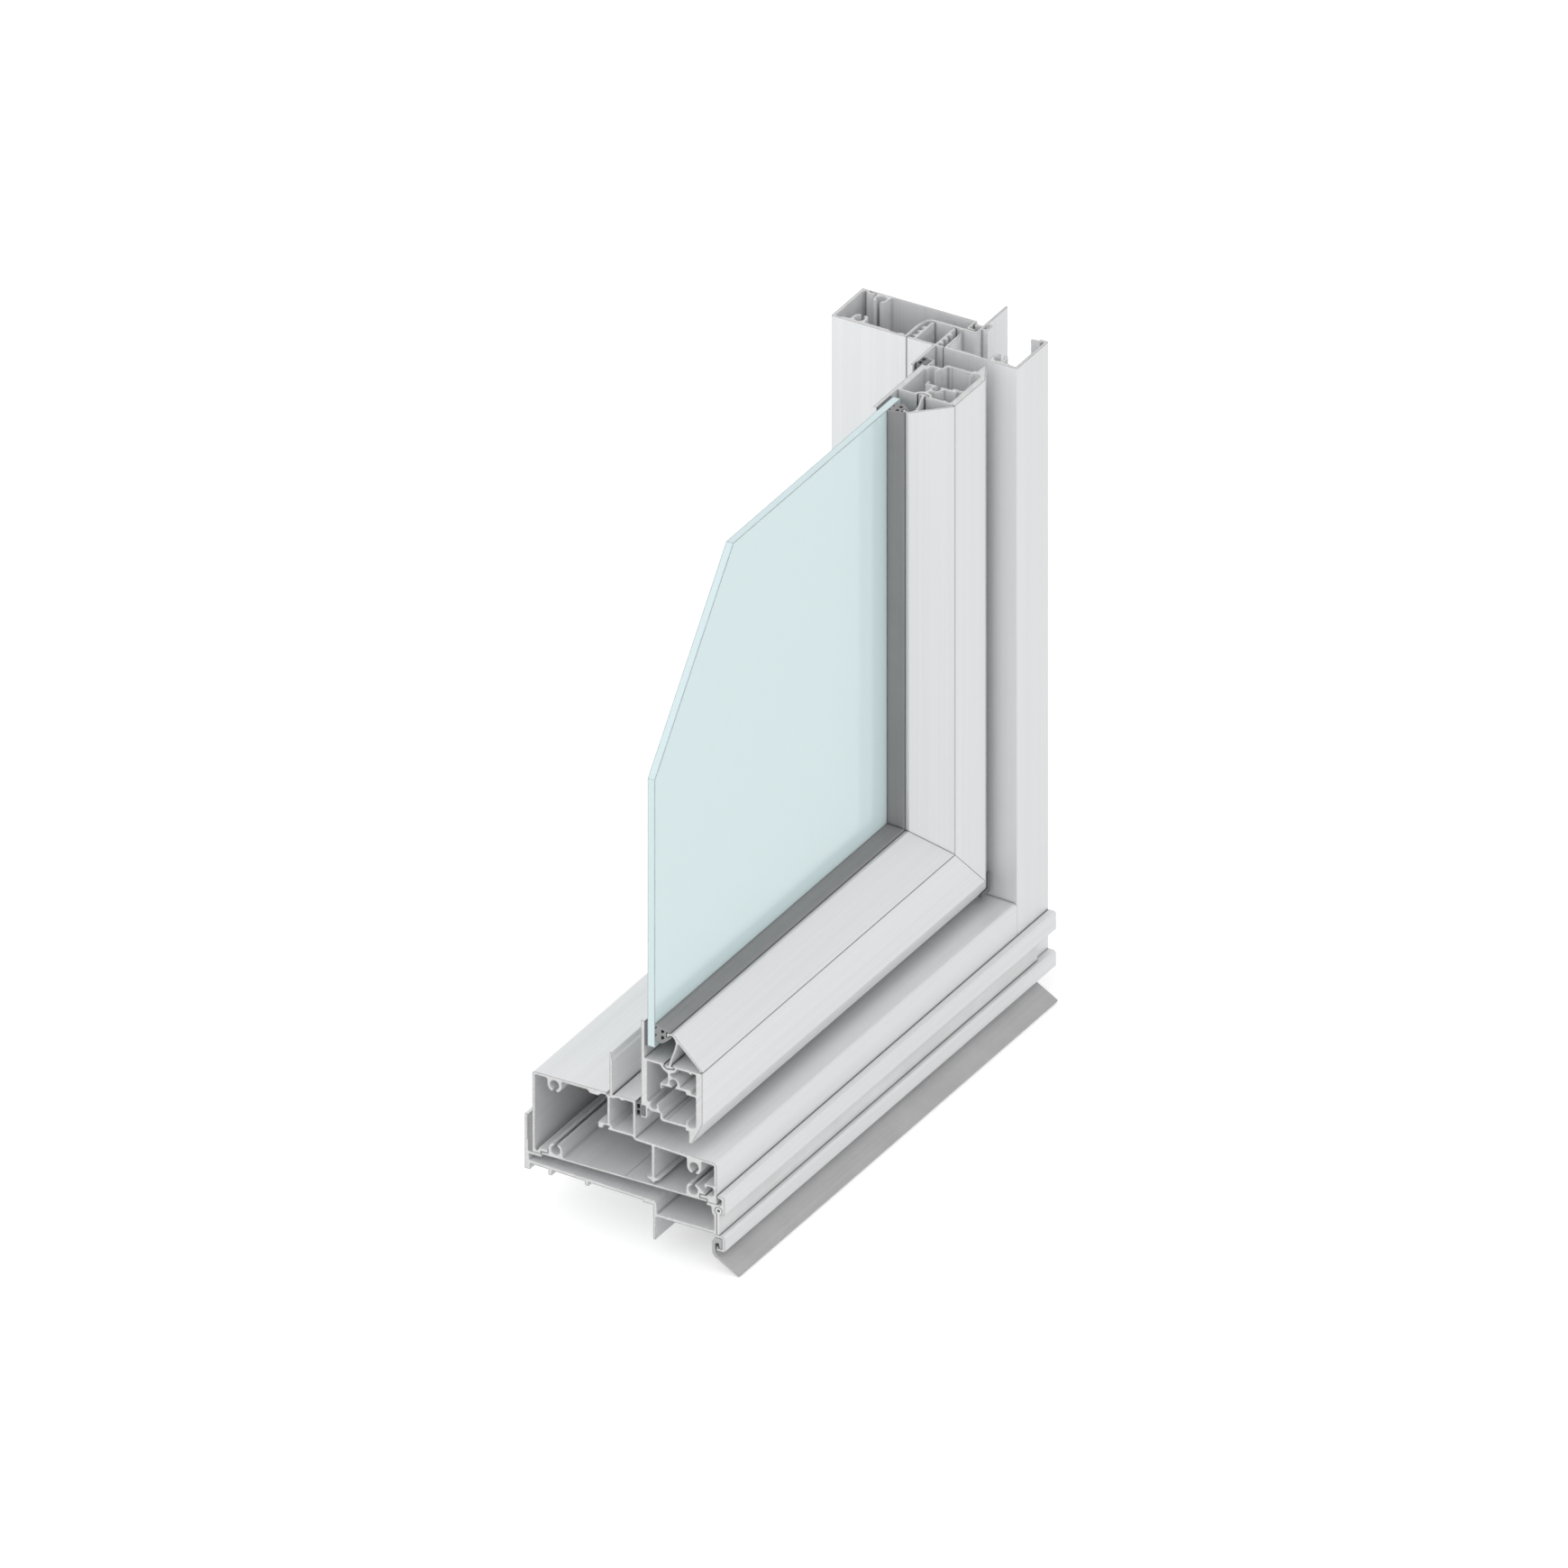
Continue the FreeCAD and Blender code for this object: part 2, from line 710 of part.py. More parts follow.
def subSill():
    outer = -size("sealantWidth") - size("upstandWall")
    inner = -size("sealantWidth")
    top = frameBottom + size("upstandHeight")
    lipWall = size("seatLipWall")
    lipUnder = frameBottom - lipWall
    lipEnd = size("footLip") + 0.6
    stepX = size("stepSetback")
    stepRight = stepX + size("subSillWall")
    padLeft = stepX - size("padWidth")
    shelfUnder = -size("subSillShelf")
    shelfTop = shelfUnder + 1.9
    webLeft = depth - wall
    webRight = depth
    seatLeft = depth - 5.5
    hookTop = frameBottom + size("hookHeight")
    hookRight = depth + size("hookProud")
    grooveX, grooveZ, grooveR = beadGroove()
    teeth = []
    pitch = size("serrationPitch")
    for index in range(12):
        level = top - 0.3 - index * pitch
        teeth += [(inner, level), (inner - size("serrationDepth"), level - pitch / 2)]
    rightAngle = math.radians(50)
    hookInner = grooveX + grooveR * math.sin(rightAngle)
    leftSin = (grooveX - webRight) / grooveR
    leftZ = grooveZ - grooveR * math.sqrt(1 - leftSin * leftSin)
    lowTop = shelfUnder - 0.3
    lowBottom = lowTop - 8.5
    lowRight = hookRight - 1.5
    outline = [
        (outer, 0, 0.4),
        (outer, top, 0.2),
    ]
    outline += teeth
    outline += [
        (inner, teeth[-1][1] - pitch / 2),
        (inner, frameBottom),
        (lipEnd, frameBottom),
        (lipEnd - 0.4, lipUnder, 0.2),
        (inner + 0.4, lipUnder, 0.2),
        (inner + 0.6, 5.3, 0.3),
        (stepX + 0.2, 2.75, 0.8),
        (stepRight, 1.3, 0.8),
        (stepRight, shelfTop, 0.2),
        (webLeft, shelfTop, 0.2),
        (webLeft, 3.4, 0.4),
        (webLeft - 1.2, 5.1, 0.3),
        (webLeft - 1.4, lipUnder - 0.1, 0.4),
        (seatLeft, lipUnder - 0.1),
        (seatLeft, frameBottom),
        (hookRight - 1.8, frameBottom, 1.2),
        (hookRight - 1.8, frameBottom + 3.4, 0.9),
        (depth + gap["clip"], frameBottom + 3.4, 0.3),
        (depth + gap["clip"], hookTop, 0.2),
        (hookRight - 0.8, hookTop),
        (hookRight, hookTop - 0.8),
        (hookRight, grooveZ - 1.9, 0.9),
        (hookInner, grooveZ - 1.9, 0.4),
        (hookInner, grooveZ - grooveR * math.cos(rightAngle)),
        (webRight, leftZ, "via", grooveX, grooveZ + grooveR),
        (webRight, lowTop),
        (hookRight - 0.9, lowTop),
        (hookRight, lowTop - 1.2),
        (hookRight, lowBottom, 0.8),
        (webRight, lowBottom, 0.3),
        (webRight, lowBottom + 2.0, 0.2),
        (webRight + 0.7, lowBottom + 2.0, 0.2),
        (webRight + 0.7, lowBottom + 1.3),
        (lowRight, lowBottom + 1.3),
        (lowRight, lowTop - 1.5),
        (webRight - 0.5, lowTop - 1.5),
        (webLeft + 0.3, lowTop - 0.6),
        (webLeft - 0.1, shelfUnder),
        (stepX + 1.5, shelfUnder, 0.9),
        (stepX + 1.5, -size("legDrop"), 0.7),
        (stepX, -size("legDrop"), 0.7),
        (stepX, 0),
        (padLeft, 0),
        (padLeft, underside(padLeft)),
    ]
    for footLeft in (size("middleFootSetback"), size("roomFootSetback")):
        footRight = footLeft + size("footWidth")
        outline += [
            (footRight, underside(footRight)),
            (footRight, 0, 0.3),
            (footLeft, 0, 0.3),
            (footLeft, underside(footLeft)),
        ]
    outline += [
        (inner + 1.1, underside(inner + 1.1)),
        (inner + 1.1, 0, 0.4),
    ]
    return outline, []


def underside(x):
    # Sloping underside of the sub-sill between its feet
    start = -size("sealantWidth") + 1.1
    end = size("stepSetback")
    return 3.2 - 2.45 * (x - start) / (end - start)


def beadGroove():
    # Centre and radius of the round groove that holds the drain flap
    ring = size("beadSealRing")
    return depth + 0.9, frameBottom - 3.2, ring / 2 + 0.25


# Loose seals of the sub-sill

def drainFlap():
    grooveX, grooveZ, grooveR = beadGroove()
    ring = size("beadSealRing") / 2
    strip = size("drainFlapWall")
    left = depth + gap["clip"]
    right = left + strip
    bottom = -size("subSillShelf") - 0.3 + gap["clip"]
    leftZ = grooveZ - math.sqrt(ring ** 2 - (left - grooveX) ** 2)
    rightZ = grooveZ - math.sqrt(ring ** 2 - (right - grooveX) ** 2)
    outline = [
        (right, bottom, 0.2),
        (left, bottom, 0.2),
        (left, leftZ),
        (right, rightZ, "via", grooveX, grooveZ + ring),
    ]
    bore = 0.8
    hole = [
        (grooveX - bore, grooveZ),
        (grooveX + bore, grooveZ, "via", grooveX, grooveZ + bore),
        (grooveX - bore, grooveZ, "via", grooveX, grooveZ - bore),
    ]
    return outline, [hole]


def weatherFlap():
    lowTop = -size("subSillShelf") - 0.3
    lowBottom = lowTop - 8.5
    web = depth
    flap = size("weatherFlapWall")
    reach = size("weatherFlapReach")
    headRight = depth + size("hookProud") - 1.5 - gap["clip"]
    headTop = lowTop - 1.5 - gap["clip"]
    headBottom = lowBottom + 1.3 + gap["clip"]
    left = web - 2.5
    right = web - 0.9
    fall = math.radians(30)
    run = reach * math.cos(fall)
    drop = reach * math.sin(fall)
    kneeX = left + 1.3
    kneeZ = lowBottom - 3.5
    outline = [
        (left, headTop - 2.0, 0.3),
        (right - 0.2, headTop, 0.3),
        (headRight, headTop, 0.3),
        (headRight, headBottom, 0.3),
        (headRight - 1.0, headBottom, 0.3),
        (headRight - 1.6, headTop - 2.6),
        (web + 0.3, headTop - 2.7, 0.3),
        (right, headTop - 2.9, 0.3),
        (right, lowBottom - 0.8, 0.8),
        (kneeX + 1.4, kneeZ + 0.8, 0.8),
        (kneeX + run + flap * math.sin(fall), kneeZ - drop + flap * math.cos(fall), 0.3),
        (kneeX + run, kneeZ - drop, 0.3),
        (kneeX, kneeZ, 1.5),
        (left, kneeZ + 1.8, 1.0),
    ]
    return outline, []


def sealantBead():
    seat = gap["seat"]
    return [
        (-size("sealantWidth") + seat, frameBottom + seat),
        (-seat, frameBottom + seat),
        (-seat, frameBottom + size("upstandHeight")),
        (-size("sealantWidth") + seat, frameBottom + size("upstandHeight")),
    ], []


# Sash section, with X from its room face and Z from its base level

dripRoot = -2.1
boxAsDrawn = 25.7  # height that the levels inside the sash are given for


def sashSection():
    box = size("sashBoxHeight")
    top = box + size("sashUpstand")
    upstand = size("upstandThickness")
    right = size("sashDepth")
    inner = size("innerWall")
    outer = right - size("outerWall")
    ceiling = box - size("sashWall")
    drip = -size("dripDrop")
    tipRight = right - size("dripLean")
    tipLeft = tipRight - size("dripTip")

    def level(height):
        return height * box / boxAsDrawn

    outline = [
        (0, top),
        (upstand, top),
        (upstand, box),
        (12.3, box),
        (12.3, box - 1.7, 0.5),
        (14.0, box - 2.8, 0.8),
        (18.1, box - 2.1, 0.3),
        (18.3, box - 1.1, 0.3),
        (17.2, box - 0.8, 0.2),
        (17.0, box),
        (right, box, 0.3),
        (right, dripRoot),
        (tipRight, drip, 0.4),
        (tipLeft, drip + 0.2, 0.4),
        (tipLeft, -7.65),
        (right - 9.2, -7.65),
        (right - 9.2, -6.15),
        (11.3, -6.15, 0.7),
        (10.3, -5.0, 0.5),
        (10.3, -2.3),
        (4.8, -2.3, 0.3),
        (3.9, -1.2, 0.3),
        (3.6, -1.9, 0.2),
        (3.6, -6.2, 0.8),
        (2.6, -7.2, 0.6),
        (0, -7.2),
        (0, -5.4),
        (0.6, -5.4),
        (0.6, -6.2),
        (2.4, -6.2),
        (2.4, -0.6),
        (0.6, -0.6),
        (0.6, -1.4),
        (0, -1.4),
    ]
    upperRoom = [
        (16.05, level(20.0), 0.3),
        (16.1, level(20.9), 0.4),
        (18.7, level(22.1), 0.5),
        (19.6, ceiling, 0.3),
        (25.9, ceiling),
        (26.2, ceiling - 0.7),
        (27.3, ceiling - 0.7),
        (27.7, ceiling),
        (outer, ceiling, 0.3),
        (outer, level(13.2)),
        (27.4, level(13.2), 0.3),
        (27.2, level(15.1), 0.3),
        (21.5, level(15.1), 0.3),
        (17.2, level(19.1), "via", 20.15, level(18.05)),
    ]
    lowerRoom = [
        (inner, ceiling, 0.3),
        (10.2, ceiling, 0.5),
        (11.5, level(22.5)),
        (12.8, level(21.4), 0.5),
        (14.0, level(21.0), 0.4),
        (14.4, level(20.4)),
        (14.4, level(15.8), 0.8),
        (13.2, level(14.6), 0.5),
        (10.4, level(14.6), 0.4),
        (10.4, level(11.6)),
        (11.5, level(11.6)),
        (11.5, level(13.4)),
        (16.7, level(13.4)),
        (16.7, level(14.45)),
        (18.6, level(14.45), "via", 17.65, level(18.1)),
        (18.6, level(13.4)),
        (24.2, level(13.4), 0.2),
        (24.6, level(11.9), 0.3),
        (outer, level(11.9), 0.8),
        (outer, -5.1, 2.2),
        (25.5, -5.1, 1.5),
        (25.5, -2.1, 0.4),
        (24.4, -2.1, 0.4),
        (24.4, -4.5, 0.4),
    ] + drillLine(14.2, -4.5, -1) + [
        (12.0, -4.5, 0.2),
        (12.0, -2.3, 0.4),
        (10.5, -1.0, 0.2),
        (10.0, 0.4, 0.3),
        (9.5, 2.6, 0.3),
        (8.8, 2.9, 0.2),
        (8.2, 1.85),
        (5.4, 1.85, "via", 6.8, -0.85),
        (5.3, 2.9, 0.3),
        (4.2, 2.5, 0.3),
        (inner, 2.9, 0.3),
    ]
    return outline, [upperRoom, lowerRoom]


def sashSeal():
    left = -size("sealWidth") + gap["seat"]
    body = -gap["seat"]
    outline = [
        (left, 0.3, 0.5),
        (body, 0.3, 0.2),
        (body, -1.6),
        (0.75, -1.6),
        (0.75, -0.8, 0.2),
        (2.2, -0.8, 0.3),
        (2.2, -6.0, 0.3),
        (0.75, -6.0, 0.2),
        (0.75, -5.2),
        (body, -5.2),
        (body, -7.0, 0.2),
        (left, -7.0, 0.5),
    ]
    holes = []
    for low, high in ((-6.3, -3.7), (-3.0, -0.4)):
        holes.append([
            (left + 0.6, high, 0.4),
            (body - 0.6, high, 0.4),
            (body - 0.6, low, 0.4),
            (left + 0.6, low, 0.4),
        ])
    return outline, holes


def glazingTape():
    left = size("upstandThickness")
    right = left + size("tapeThickness")
    bottom = size("sashBoxHeight") + size("glassClearance")
    top = size("sashBoxHeight") + size("sashUpstand") - 0.2
    return [(left, bottom), (right, bottom), (right, top), (left, top)], []


def glazingBead():
    box = size("sashBoxHeight")
    toe = size("sashDepth")
    nose = box + size("beadRise")
    thick = size("beadWall")
    groove = size("jointGroove")
    crest = 17.9

    def slopeAt(z):
        return crest + (nose - z) * (toe - crest) / (nose - box - thick)

    outline = [
        (14.1, nose - 2.2, 0.2),
        (13.9, nose - 0.6, 0.4),
        (14.6, nose, 0.4),
        (crest, nose, 0.3),
        (toe, box + thick, 0.2),
        (toe, box + groove, 0.1),
        (toe - 2 * groove, box + groove),
        (toe - 2 * groove, box),
        (toe - 1.8, box),
        (toe - 1.8, box + 1.6),
        (slopeAt(nose - 4.5) - 1.95, nose - 4.5, 0.3),
        (slopeAt(nose - 5.2) - 3.15, nose - 5.2, 0.3),
        (19.1, box + 8.3),
        (17.4, box + 4.0),
        (16.4, box + 0.3),
        (16.4, box - 0.9),
        (17.8, box - 1.0, 0.2),
        (17.9, box - 1.8, 0.2),
        (13.9, box - 2.5, 0.4),
        (12.6, box - 1.3, 0.2),
        (12.9, box - 0.4, 0.2),
        (14.0, box - 1.0),
        (15.0, box - 0.5, 0.3),
        (15.1, box + 0.6),
        (16.1, box + 3.6),
        (17.9, box + 8.3),
        (18.9, nose - 4.4, 0.6),
        (18.3, nose - 2.6, 0.6),
        (17.0, nose - thick),
        (15.0, nose - thick, 0.2),
        (15.0, nose - 2.2, 0.2),
    ]
    return outline, []


def wedgeGasket():
    glass = size("upstandThickness") + size("tapeThickness") + size("glassThickness")
    face = glass + gap["seat"]
    nose = size("sashBoxHeight") + size("beadRise")
    right = face + size("wedgeWidth")
    outline = [
        (face, nose - 5.6, 0.2),
        (face, nose - 3.9),
        (face + 1.3, nose - 2.2, 0.2),
        (face, nose - 2.2),
        (face, nose + 0.3),
        (face + 1.3, nose + 1.6, 0.2),
        (face, nose + 2.0),
        (face, nose + 3.3, 0.3),
        (right, nose + 1.6, 0.3),
        (right + 0.3, nose + 0.3, 0.2),
        (face + 6.0, nose + 0.3, 0.2),
        (face + 6.0, nose - 2.5),
        (face + 7.7, nose - 2.5),
        (face + 7.7, nose - 1.5, 0.2),
        (face + 8.6, nose - 1.5, 0.2),
        (face + 8.8, nose - 2.4, 0.2),
        (face + 5.7, nose - 5.2, 0.6),
        (face + 3.5, nose - 6.7, 0.4),
    ]
    holes = []
    for low, high in ((-4.8, -2.2), (-1.3, 1.0)):
        holes.append([
            (face + 3.3, nose + low, 0.3),
            (face + 3.3, nose + high, 0.3),
            (face + 5.0, nose + high - 0.3, 0.3),
            (face + 5.0, nose + low + 1.0, 0.3),
        ])
    return outline, holes


# Pieces along the sill

def placed(section, dx, dy):
    outline, holes = section
    return move(outline, dx, dy), [move(hole, dx, dy) for hole in holes]


def turned(section):
    outline, holes = section
    return flipUpright(outline, mitreLine), [flipUpright(hole, mitreLine) for hole in holes]


extrudeAlong("sub_sill", *subSill(), subSillLength)
extrudeAlong("drain_flap_seal", *drainFlap(), flapLength)
extrudeAlong("weather_flap", *weatherFlap(), flapLength)
extrudeAlong("upstand_sealant", *sealantBead(), "Sizes.sillLength")
extrudeAlong("frame_sill", *frameSill(), "Sizes.sillLength")
extrudeAlong("sill_base_plate", *basePlate(), "Sizes.sillLength")

# Pieces of the jamb, from the frame's bottom up to the upper cut

for label, section in (
    ("jamb_frame", frameJamb()),
    ("jamb_back_plate", jambBackPlate()),
    ("jamb_stop_cover", stopCover()),
):
    outline, holes = placed(section, -size("jambProud"), jambFace)
    upright = extrudeUp(label, outline, holes, "Sizes.seatHeight", "Sizes.jambHeight")
    if label == "jamb_stop_cover":
        trimFin(upright)

# Sash: the rail's pieces along the sill, the stile's upright, mitred

mitred = {
    "sash_bottom_rail": ("sash_stile", sashSection()),
    "bottom_sash_seal": ("side_sash_seal", sashSeal()),
    "bottom_glazing_tape": ("side_glazing_tape", glazingTape()),
    "bottom_glazing_bead": ("side_glazing_bead", glazingBead()),
    "bottom_wedge_gasket": ("side_wedge_gasket", wedgeGasket()),
}
for railLabel, (stileLabel, section) in mitred.items():
    along = placed(section, sashFace, sashBase)
    rail = extrudeAlong(railLabel, *along, "Sizes.sillLength")
    cutMitre(rail, True)
    stile = extrudeUp(stileLabel, *turned(along), "Sizes.seatHeight", "Sizes.jambHeight")
    cutMitre(stile, False)

# Corner cap pressed on the mitred tips of the drip, swept round the corner

def cornerCap():
    drip = -size("dripDrop")
    tipRight = size("sashDepth") - size("dripLean")
    tipLeft = tipRight - size("dripTip")
    lean = size("dripLean") / (size("dripDrop") + dripRoot)
    grip = drip + size("capGrip")
    under = drip - gap["seat"]
    bottom = under - size("capWall")
    left = tipLeft - gap["seat"]
    right = tipRight + 2 * gap["seat"]
    lip = size("capLip")
    lipX = right + lean * (lip + gap["seat"])
    return [
        (left, grip),
        (left, under),
        (right, under),
        (lipX, drip + lip),
        (lipX + lip, drip + lip),
        (lipX + lip, bottom, 0.8),
        (left - size("capCheek"), bottom, 0.5),
        (left - size("capCheek"), grip, 0.4),
    ], []


capLow = sashBase - size("dripDrop") - gap["seat"] - size("capWall")
capFar = mitreLine - capLow
capNear = capFar - size("capFoot")
capHigh = capLow + size("capLeg")
capDepth = size("capGrip") + gap["seat"] + size("capWall")
cap = newBody("sash_corner_cap")
capSection = attachedSketch(cap, "XZ_Plane", "sash_corner_cap_section")
capSection.AttachmentOffset = FreeCAD.Placement(FreeCAD.Vector(0, 0, -capNear), FreeCAD.Rotation())
drawOutline(capSection, placed(cornerCap(), sashFace, sashBase)[0])
capPath = attachedSketch(cap, "YZ_Plane", "sash_corner_cap_path")
capPath.setExpression(
    "AttachmentOffset.Base.z",
    "Sizes.stopSetback + Sizes.stopChamberWidth + Sizes.sealWidth + Sizes.sashDepth - Sizes.dripLean",
)
for start, end in (((capNear, capLow), (capFar, capLow)), ((capFar, capLow), (capFar, capHigh))):
    capPath.addGeometry(Part.LineSegment(FreeCAD.Vector(*start, 0), FreeCAD.Vector(*end, 0)), False)
capSweep = cap.newObject("PartDesign::AdditivePipe", "sash_corner_cap_sweep")
capSweep.Profile = capSection
capSweep.Spine = (capPath, ["Edge1", "Edge2"])
capSweep.Transition = "Right corner"

# The outer corner and the two ends of the cap are rounded off together
capSide = attachedSketch(cap, "YZ_Plane", "sash_corner_cap_side")
drawOutline(capSide, [
    (capNear - 2, capLow - 2),
    (capFar + 2, capLow - 2),
    (capFar + 2, capHigh + 2),
    (capNear - 2, capHigh + 2),
])
drawOutline(capSide, [
    (capNear, capLow, 1.6),
    (capFar, capLow, 1.8),
    (capFar, capHigh, 1.6),
    (capFar - capDepth, capHigh, 0.6),
    (capFar - capDepth, capLow + capDepth),
    (capNear, capLow + capDepth, 0.6),
])
capRounding = cap.newObject("PartDesign::Pocket", "sash_corner_cap_rounding")
capRounding.Profile = capSide
capRounding.Type = "ThroughAll"
capRounding.SideType = "Symmetric"

# Glass, with its broken-away upper corner

glassBottom = sashBase + size("sashBoxHeight") + size("glassClearance")
glassFar = mitreLine - glassBottom
pane = newBody("glass_pane")
paneSketch = attachedSketch(pane, "YZ_Plane", "glass_pane_outline")
paneSketch.setExpression(
    "AttachmentOffset.Base.z",
    "Sizes.stopSetback + Sizes.stopChamberWidth + Sizes.sealWidth"
    " + Sizes.upstandThickness + Sizes.tapeThickness",
)
drawOutline(paneSketch, [
    (0, glassBottom),
    (glassFar, glassBottom),
    (glassFar, sectionTop),
    (size("glassCutRun"), sectionTop),
    (0, sashBase + size("glassNearHeight")),
])
panePad = pane.newObject("PartDesign::Pad", "glass_pane_pad")
panePad.Profile = paneSketch
panePad.setExpression("Length", "Sizes.glassThickness")

doc.recompute()

# Every object has to be sound before anything is written

faults = []
for item in doc.Objects:
    if "Invalid" in item.State or "Error" in item.State:
        faults.append(item.Name + " " + str(item.State))
bodies = [item for item in doc.Objects if item.TypeId == "PartDesign::Body"]
for body in bodies:
    shape = body.Shape
    if shape.isNull() or not shape.isValid():
        faults.append(body.Label + " shape")
    elif len(shape.Solids) != 1:
        faults.append(body.Label + " has %d solids" % len(shape.Solids))
if faults:
    raise RuntimeError("; ".join(faults))

os.makedirs("parts", exist_ok=True)
for body in bodies:
    body.Shape.exportStep("parts/%s.step" % body.Label)
    print(body.Label, round(body.Shape.Volume), "mm3")
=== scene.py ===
import math

import bpy
from mathutils import Matrix, Vector


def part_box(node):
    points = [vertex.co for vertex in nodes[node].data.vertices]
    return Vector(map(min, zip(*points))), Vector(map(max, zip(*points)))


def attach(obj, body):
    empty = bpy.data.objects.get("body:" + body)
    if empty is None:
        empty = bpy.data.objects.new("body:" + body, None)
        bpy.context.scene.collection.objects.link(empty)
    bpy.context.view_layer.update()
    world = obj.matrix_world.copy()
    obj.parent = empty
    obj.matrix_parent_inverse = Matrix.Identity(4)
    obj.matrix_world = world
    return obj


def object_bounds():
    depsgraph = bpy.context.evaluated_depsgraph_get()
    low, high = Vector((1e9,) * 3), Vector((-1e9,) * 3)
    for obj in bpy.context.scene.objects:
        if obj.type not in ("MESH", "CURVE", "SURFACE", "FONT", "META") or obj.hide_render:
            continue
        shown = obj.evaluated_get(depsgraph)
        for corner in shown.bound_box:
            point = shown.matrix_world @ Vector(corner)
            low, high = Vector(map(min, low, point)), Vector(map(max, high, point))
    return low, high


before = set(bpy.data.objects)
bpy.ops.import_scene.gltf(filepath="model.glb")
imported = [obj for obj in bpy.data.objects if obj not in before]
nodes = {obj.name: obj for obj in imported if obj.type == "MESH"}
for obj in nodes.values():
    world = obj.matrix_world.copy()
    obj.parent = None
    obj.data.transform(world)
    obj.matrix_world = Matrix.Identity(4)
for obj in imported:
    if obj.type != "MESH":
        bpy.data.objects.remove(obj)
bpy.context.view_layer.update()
print("frame loaded:", len(nodes), "nodes")


def newTree(name, inputs, outputs, sort="ShaderNodeTree"):
    tree = bpy.data.node_groups.new(name, sort)
    for label, kind, value in inputs:
        socket = tree.interface.new_socket(label, in_out="INPUT", socket_type=kind)
        if value is not None:
            socket.default_value = value
    for label, kind in outputs:
        tree.interface.new_socket(label, in_out="OUTPUT", socket_type=kind)
    return tree, tree.nodes.new("NodeGroupInput").outputs, tree.nodes.new("NodeGroupOutput").inputs


def giveSocket(tree, socket, value):
    if isinstance(value, bpy.types.NodeSocket):
        tree.links.new(value, socket)
    else:
        socket.default_value = value


def addNode(tree, kind, settings=None, values=None):
    node = tree.nodes.new(kind)
    for key, value in (settings or {}).items():
        setattr(node, key, value)
    for key, value in (values or {}).items():
        giveSocket(tree, node.inputs[key], value)
    return node


def calc(tree, operation, first, second=0.0):
    return addNode(tree, "ShaderNodeMath", {"operation": operation}, {0: first, 1: second}).outputs[0]


def vectorCalc(tree, operation, first, second, result="Vector"):
    node = addNode(tree, "ShaderNodeVectorMath", {"operation": operation}, {0: first, 1: second})
    return node.outputs[result]


def remap(tree, value, low, high, toLow=0.0, toHigh=1.0):
    values = {"Value": value, "From Min": low, "From Max": high, "To Min": toLow, "To Max": toHigh}
    return addNode(tree, "ShaderNodeMapRange", None, values).outputs["Result"]


def mixNumbers(tree, share, first, second):
    node = addNode(tree, "ShaderNodeMix", {"data_type": "FLOAT"}, {0: share, 2: first, 3: second})
    return node.outputs[0]


def mixColours(tree, share, first, second, blend="MIX"):
    node = addNode(tree, "ShaderNodeMix", {"data_type": "RGBA", "blend_type": blend},
                   {0: share, 6: first, 7: second})
    return node.outputs[2]


def vector(tree, x=0.0, y=0.0, z=0.0):
    return addNode(tree, "ShaderNodeCombineXYZ", None, {"X": x, "Y": y, "Z": z}).outputs[0]


def noise(tree, place, scale, detail, roughness=0.5):
    values = {"Vector": place, "Scale": scale, "Detail": detail, "Roughness": roughness}
    return addNode(tree, "ShaderNodeTexNoise", None, values).outputs["Fac"]


def useGroup(tree, group, values):
    return addNode(tree, "ShaderNodeGroup", {"node_tree": group}, values).outputs


# A colour as the screen shows it, from 0 to 255, in the linear values that a shader takes.
def fromScreen(red, green, blue):
    parts = []
    for value in (red, green, blue):
        part = value / 255
        parts.append(part / 12.92 if part <= 0.04045 else ((part + 0.055) / 1.055) ** 2.4)
    return (*parts, 1.0)


def grey(value):
    return (value, value, value, 1.0)


def toned(colour, share):
    return (*(min(part * share, 1.0) for part in colour[:3]), 1.0)


def perAxis(along, lengthwise, across):
    return tuple(lengthwise if letter == along else across for letter in "XYZ")


# Most values of a noise texture lie between these two
noiseRange = (0.3, 0.7)


# Fine lines that the die leaves along its run: noise drawn out along one direction.
def buildDieLines():
    tree, given, result = newTree(
        "dieLines",
        [("Coordinates", "NodeSocketVector", None), ("Stretch", "NodeSocketVector", (900, 5, 900)),
         ("Softness", "NodeSocketFloat", 0.55)],
        [("Lines", "NodeSocketFloat")])
    fineShare = 0.6
    wideScale = 0.13
    place = vectorCalc(tree, "MULTIPLY", given["Coordinates"], given["Stretch"])
    fine = noise(tree, place, scale=1.0, detail=3.0, roughness=given["Softness"])
    wide = noise(tree, place, scale=wideScale, detail=1.0, roughness=0.4)
    both = calc(tree, "ADD", calc(tree, "MULTIPLY", fine, fineShare),
                calc(tree, "MULTIPLY", wide, 1.0 - fineShare))
    tree.links.new(both, result["Lines"])
    return tree


